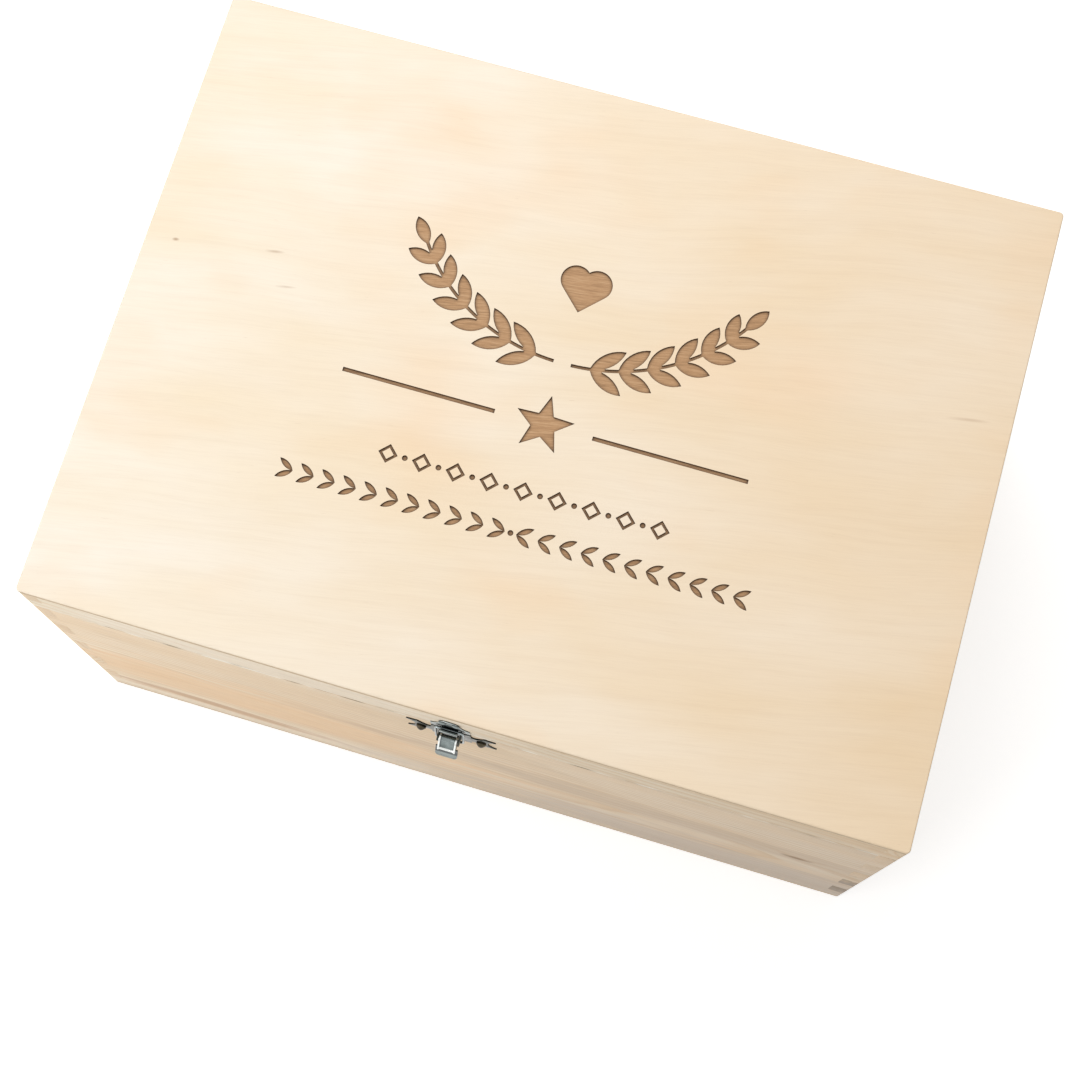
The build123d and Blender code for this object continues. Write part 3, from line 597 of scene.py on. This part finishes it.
def grown(name, tree, points, edges, inputs):
    """The plain mesh that a geometry tree grows on these points."""
    mesh = bpy.data.meshes.new(name)
    mesh.from_pydata(points, edges, [])
    piece = bpy.data.objects.new(name, mesh)
    bpy.context.scene.collection.objects.link(piece)
    modifier = piece.modifiers.new("growth", "NODES")
    modifier.node_group = tree
    for item in tree.interface.items_tree:
        if item.in_out == "INPUT" and item.name in inputs:
            modifier[item.identifier] = inputs[item.name]
    graph = bpy.context.evaluated_depsgraph_get()
    plain = bpy.data.meshes.new_from_object(piece.evaluated_get(graph))
    piece.modifiers.clear()
    piece.data = plain
    shell = bmesh.new()
    shell.from_mesh(plain)
    bmesh.ops.remove_doubles(shell, verts=shell.verts, dist=DOUBLES)
    bmesh.ops.recalc_face_normals(shell, faces=shell.faces)
    shell.to_mesh(plain)
    shell.free()
    smoothed(plain)
    return piece


def upward(tree, distance):
    """A vector of that length along z."""
    return add(tree, "ShaderNodeCombineXYZ", {2: distance}).outputs[0]


def raised(tree, shape, height):
    """A shape moved up by that height."""
    shift = upward(tree, height)
    return add(tree, "GeometryNodeTransform", {"Geometry": shape, "Translation": shift}).outputs[0]


def fixing_head(tree, given):
    """A dome over an upright rim, with a slot across it if the fixing is a screw."""
    rim = sums(tree, "MULTIPLY", given["Head Height"], given["Rim Share"])
    dome = sums(tree, "SUBTRACT", given["Head Height"], rim)
    disc = add(tree, "GeometryNodeMeshCylinder",
               {"Vertices": HEAD_SIDES, "Side Segments": 1, "Fill Segments": HEAD_RINGS,
                "Radius": given["Head Radius"], "Depth": rim}, fill_type="TRIANGLE_FAN").outputs["Mesh"]
    spot = add(tree, "GeometryNodeInputPosition").outputs[0]
    split = apart(tree, spot)
    away = sums(tree, "DIVIDE", oval(tree, split[0], split[1], (0, 0), (1, 1)), given["Head Radius"])
    swell = sums(tree, "MULTIPLY", dome, sums(tree, "SUBTRACT", 1.0, sums(tree, "MULTIPLY", away, away)))
    swell = sums(tree, "MULTIPLY", swell, sums(tree, "GREATER_THAN", split[2], 0.0))
    lift = sums(tree, "ADD", swell, sums(tree, "MULTIPLY_ADD", rim, 0.5, given["Seat"]))
    head = add(tree, "GeometryNodeSetPosition", {"Geometry": disc, "Offset": upward(tree, lift)}).outputs[0]
    crown = sums(tree, "ADD", given["Seat"], given["Head Height"])
    across = sums(tree, "MULTIPLY", given["Head Radius"], SLOT_CUTTER_SHARE)
    bar = add(tree, "ShaderNodeCombineXYZ", {0: across, 1: given["Slot"], 2: given["Head Height"]}).outputs[0]
    cutter = add(tree, "GeometryNodeMeshCube", {"Size": bar}).outputs["Mesh"]
    slotted = add(tree, "GeometryNodeMeshBoolean", {"Mesh 1": head, "Mesh 2": raised(tree, cutter, crown)},
                  operation="DIFFERENCE").outputs["Mesh"]
    has_slot = sums(tree, "GREATER_THAN", given["Slot"], 0.0)
    return add(tree, "GeometryNodeSwitch", {"Switch": has_slot, "False": head, "True": slotted}).outputs[0]


def fixing_shank(tree, given):
    """A rod that runs down from under the head, and its point."""
    reach = sums(tree, "ADD", given["Length"], given["Seat"])
    point = sums(tree, "MULTIPLY", given["Shank Radius"], POINT_SHARE)
    rod = add(tree, "GeometryNodeMeshCylinder",
              {"Vertices": SHANK_SIDES, "Radius": given["Shank Radius"],
               "Depth": sums(tree, "SUBTRACT", reach, point)}).outputs["Mesh"]
    middle = sums(tree, "MULTIPLY", sums(tree, "ADD", reach, point), -0.5)
    rod = raised(tree, rod, sums(tree, "ADD", sums(tree, "ADD", middle, point), given["Seat"]))
    tip = add(tree, "GeometryNodeMeshCone",
              {"Vertices": SHANK_SIDES, "Radius Top": given["Shank Radius"], "Radius Bottom": 0.0,
               "Depth": point}).outputs["Mesh"]
    return rod, raised(tree, tip, sums(tree, "MULTIPLY", given["Length"], -1.0))


def fixing_tree():
    """A round-head fixing at each point, turned at random about its own length."""
    sizes = ["Head Radius", "Head Height", "Rim Share", "Shank Radius", "Length", "Slot", "Seat"]
    others = {"Seed": "NodeSocketInt", "Facing": "NodeSocketVector", "Finish": "NodeSocketMaterial"}
    tree, given = growth_tree("round_head_fixing", sizes, others)
    whole = add(tree, "GeometryNodeJoinGeometry")
    for part in (fixing_head(tree, given), *fixing_shank(tree, given)):
        tree.links.new(part, whole.inputs[0])
    set_in = add(tree, "GeometryNodeInstanceOnPoints",
                 {"Points": given["Geometry"], "Instance": whole.outputs[0], "Rotation": given["Facing"]})
    spin = add(tree, "FunctionNodeRandomValue", {"Min": 0.0, "Max": 1.0, "Seed": given["Seed"]},
               data_type="FLOAT").outputs[1]
    turn = upward(tree, sums(tree, "MULTIPLY", spin, 2 * pi))
    turned = add(tree, "GeometryNodeRotateInstances",
                 {"Instances": set_in.outputs[0], "Rotation": turn, "Local Space": True}).outputs[0]
    finish_tree(tree, turned, given["Finish"])
    return tree


def wire_tree():
    """Round wire along a path of straight runs, bent to an even radius at each corner."""
    sizes = ["Wire Radius", "Corner Radius"]
    tree, given = growth_tree("bent_wire", sizes, {"Finish": "NodeSocketMaterial"})
    path = add(tree, "GeometryNodeMeshToCurve", {"Mesh": given["Geometry"]}).outputs[0]
    bent = add(tree, "GeometryNodeFilletCurve",
               {"Curve": path, "Radius": given["Corner Radius"], "Count": CORNER_STEPS},
               mode="POLY").outputs[0]
    ring = add(tree, "GeometryNodeCurvePrimitiveCircle",
               {"Resolution": WIRE_SIDES, "Radius": given["Wire Radius"]})
    tube = add(tree, "GeometryNodeCurveToMesh",
               {"Curve": bent, "Profile Curve": ring.outputs[0], "Fill Caps": True}).outputs[0]
    finish_tree(tree, tube, given["Finish"])
    return tree


def fixings(tree, node, places, outward, sheet, shank, slot, seed, finish):
    """The fixings of a CAD group, at these places across the face of the wood.

    Outward is 1 on the back and -1 on the front, and sheet is the thickness of metal that they hold.
    """
    low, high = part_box(node)
    wood, crown, tip = (BACK, high.y, low.y) if outward > 0 else (FRONT, low.y, high.y)
    z = (low.z + high.z) / 2
    sizes = {"Head Radius": (high.z - low.z) / 2, "Head Height": abs(crown - wood) - sheet,
             "Rim Share": RIM_SHARE, "Shank Radius": shank, "Length": abs(tip - wood), "Slot": slot,
             "Seat": sheet, "Seed": seed, "Facing": (-outward * pi / 2, 0, 0), "Finish": finish}
    settle(grown(f"{node}_set", tree, [(x, wood, z) for x in places], [], sizes), node)


def all_fixings(screw_finish, plate_finish, hook_finish):
    """The eight screws of the hinges and the four nails of the catch."""
    tree = fixing_tree()
    screws = {"hinge_body_screws": ("hinge_body_leaf", 3), "hinge_lid_screws": ("hinge_lid_leaf", 8)}
    for node, (leaf, seed) in screws.items():
        low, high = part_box(node)
        radius = (high.z - low.z) / 2
        centres = [sum(corner.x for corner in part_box(f"{side}_{leaf}")) / 2 for side in ("left", "right")]
        half = centres[0] - (low.x + radius)
        places = [centre + way * half for centre in centres for way in (-1, 1)]
        fixings(tree, node, places, 1, HINGE_SHEET, SCREW_SHANK, SCREW_SLOT, seed, screw_finish)
    nails = {"catch_plate_nails": (1, plate_finish), "catch_hook_nails": (2, hook_finish)}
    for node, (seed, nail_finish) in nails.items():
        low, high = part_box(node)
        radius = (high.z - low.z) / 2
        places = [low.x + radius, high.x - radius]
        fixings(tree, node, places, -1, CATCH_SHEET, NAIL_SHANK, 0.0, seed, nail_finish)


def link(finish):
    """The catch's wire link."""
    low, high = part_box("catch_link")
    left, right = low.x + WIRE, high.x - WIRE
    foot, bar = (low.y + WIRE, low.z + WIRE), (high.y - WIRE, high.z - WIRE)
    path = [(left + LINK_TURN_IN, *foot), (left, *foot), (left, *bar), (right, *bar), (right, *foot),
            (right - LINK_TURN_IN, *foot)]
    edges = [(i, i + 1) for i in range(len(path) - 1)]
    sizes = {"Wire Radius": WIRE, "Corner Radius": LINK_CORNER, "Finish": finish}
    settle(grown("catch_link_wire", wire_tree(), path, edges, sizes), "catch_link")


def lever_highlight(face):
    """Whether a face of the lever gets a painted highlight: the rim of a cheek, or the top of the rib across
    the lip.
    """
    low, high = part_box("catch_lever")
    centre = face.calc_center_median()
    from_middle = abs(centre.x - (low.x + high.x) / 2)
    cheek = LEVER_HALF - LEVER_SHEET < from_middle < LEVER_HALF and abs(face.normal.x) < 0.5
    rib_z = low.z + RIB_ABOVE_LIP
    rib = from_middle < LEVER_HALF and centre.y < FRONT - RIB_OUT and centre.z > rib_z
    return (cheek or rib) and face.normal.y - face.normal.z < 0.3


def fittings():
    """Hinges and catch, each metal with the finish that its kind of plating has."""
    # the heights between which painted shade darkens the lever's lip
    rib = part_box("catch_lever")[0].z + RIB_ABOVE_LIP
    shade_band = [rib - below for below in SHADE_BELOW_RIB]
    # the last colour of each finish darkens its corners and folds, as grime and painted shade
    # electroplated zinc: an even pale blue-grey, half bright
    zinc = plated("bright_zinc_plate", "#A9AEB2", "#7E8488", 0.26, 3.0, "#4A4845")
    # the same on screws, duller for the handling
    screws = plated("zinc_plated_screws", "#8B9094", "#5A5E61", 0.24, 33.0, "#4A4845")
    # thin nickel on pressed steel: a darker, greener grey, glossy, and painted nearly black in its folds as
    # grime and shade
    nickel = plated("nickel_plate", "#87908F", "#59625F", 0.20, 13.0, "#23282A")
    # the same on the lever, with painted shade on its lip just under the rib
    rib_shaded = plated("handled_nickel_plate", "#87908F", "#59625F", 0.20, 13.0, "#23282A", shade_band)
    # the same on the base, painted dim, with brown patches, as a reflection of the wood around it and as
    # tarnish
    wood_tinted_base = plated("wood_reflecting_nickel_plate", "#50544F", "#37352E", 0.24, 53.0, "#1F1D18")
    # drawn wire, nickel-plated: the brightest and smoothest of the catch
    wire = plated("nickel_plated_wire", "#A3ABAC", "#6B7374", 0.18, 23.0, "#2E3334")
    # steel nails: dark brown heads with a low gloss
    nails = plated("dark_brown_steel_nails", "#5C5343", "#38322A", 0.24, 43.0, "#1D1914")
    finishes = {"hinge_steel": zinc, "catch_nickel": nickel, "wire_steel": wire}
    for node, slot in SLOT_OF.items():
        if slot in finishes and node != "catch_link":
            finish = {"catch_plate": wood_tinted_base, "catch_lever": rib_shaded}.get(node, finishes[slot])
            dressed(node, finish, METAL_EDGE, lever_highlight if node == "catch_lever" else None)
    link(wire)
    all_fixings(screws, nails, nickel)


# ---- the studio ----
def camera():
    """The photograph's viewpoint."""
    data = bpy.data.cameras.new("camera")
    made = bpy.data.objects.new("camera", data)
    bpy.context.scene.collection.objects.link(made)
    look = (Vector(CAMERA_TARGET) - Vector(CAMERA_PLACE)).to_track_quat("-Z", "Y").to_matrix()
    turn = (look @ Matrix.Rotation(radians(CAMERA_ROLL), 3, "Z")).to_4x4()
    made.matrix_world = Matrix.Translation(CAMERA_PLACE) @ turn
    data.sensor_width = 36.0
    data.lens = FOCAL_PIXELS * data.sensor_width / PHOTO_WIDTH
    data.shift_x = (PHOTO_WIDTH / 2 - AXIS_PIXEL[0]) / PHOTO_WIDTH
    data.shift_y = (AXIS_PIXEL[1] - PHOTO_HEIGHT / 2) / PHOTO_WIDTH
    data.clip_start = 0.01
    bpy.context.scene.camera = made


def seen_directly(tree):
    """1 for rays from the camera and for those that gloss and glass send on."""
    path = add(tree, "ShaderNodeLightPath").outputs
    seen = sums(tree, "MAXIMUM", path["Is Camera Ray"], path["Is Glossy Ray"])
    return sums(tree, "MAXIMUM", seen, path["Is Transmission Ray"])


def floor():
    """A pale floor that shows white, keeps a soft shadow and is open from below."""
    bpy.ops.mesh.primitive_plane_add(size=FLOOR_SIZE, location=(0, 0, -FLOOR_GAP))
    plane = bpy.context.object
    plane.name = "floor"
    # matt white paper: no sheen, only the box's soft shadow
    material, tree, shader = new_material("white_paper_sweep")
    shader.inputs["Base Color"].default_value = linear("#DADADA")
    shader.inputs["Roughness"].default_value = 0.9
    shader.inputs["Specular IOR Level"].default_value = 0.1
    brightness = sums(tree, "MULTIPLY", seen_directly(tree), FLOOR_GLOW)
    glow = add(tree, "ShaderNodeEmission", {"Strength": brightness})
    both = add(tree, "ShaderNodeAddShader", {0: shader.outputs[0], 1: glow.outputs[0]})
    underneath = add(tree, "ShaderNodeNewGeometry").outputs["Backfacing"]
    clear = add(tree, "ShaderNodeBsdfTransparent").outputs[0]
    sheet = add(tree, "ShaderNodeMixShader", {0: underneath, 1: both.outputs[0], 2: clear})
    tree.links.new(sheet.outputs[0], tree.nodes["Material Output"].inputs["Surface"])
    coat(plane, material)


def window_lamp(name, place, size, watts):
    """A square soft lamp that faces the middle of the box."""
    data = bpy.data.lights.new(name, "AREA")
    data.shape = "SQUARE"
    data.size = size
    data.energy = watts
    lamp = bpy.data.objects.new(name, data)
    bpy.context.scene.collection.objects.link(lamp)
    lamp.location = place
    lamp.rotation_euler = (Vector(BOX_MIDDLE) - Vector(place)).to_track_quat("-Z", "Y").to_euler()


def light():
    """Plain soft daylight: a high window behind to the left, and a smaller one in front to the left."""
    world = bpy.data.worlds.new("studio")
    bpy.context.scene.world = world
    world.use_nodes = True
    tree = world.node_tree
    strength = sums(tree, "MULTIPLY_ADD", seen_directly(tree), WORLD_SEEN - WORLD_LIGHT, WORLD_LIGHT)
    tree.links.new(strength, tree.nodes["Background"].inputs["Strength"])
    tree.nodes["Background"].inputs["Color"].default_value = (1, 1, 1, 1)
    window_lamp("high_window", (-0.32, 0.71, 1.50), 0.8, 12)
    window_lamp("front_window", (-0.74, -0.85, 0.68), 0.7, 5.2)


camera()
light()
floor()
boards()
panels()
fittings()
bpy.context.scene.view_settings.view_transform = "Standard"
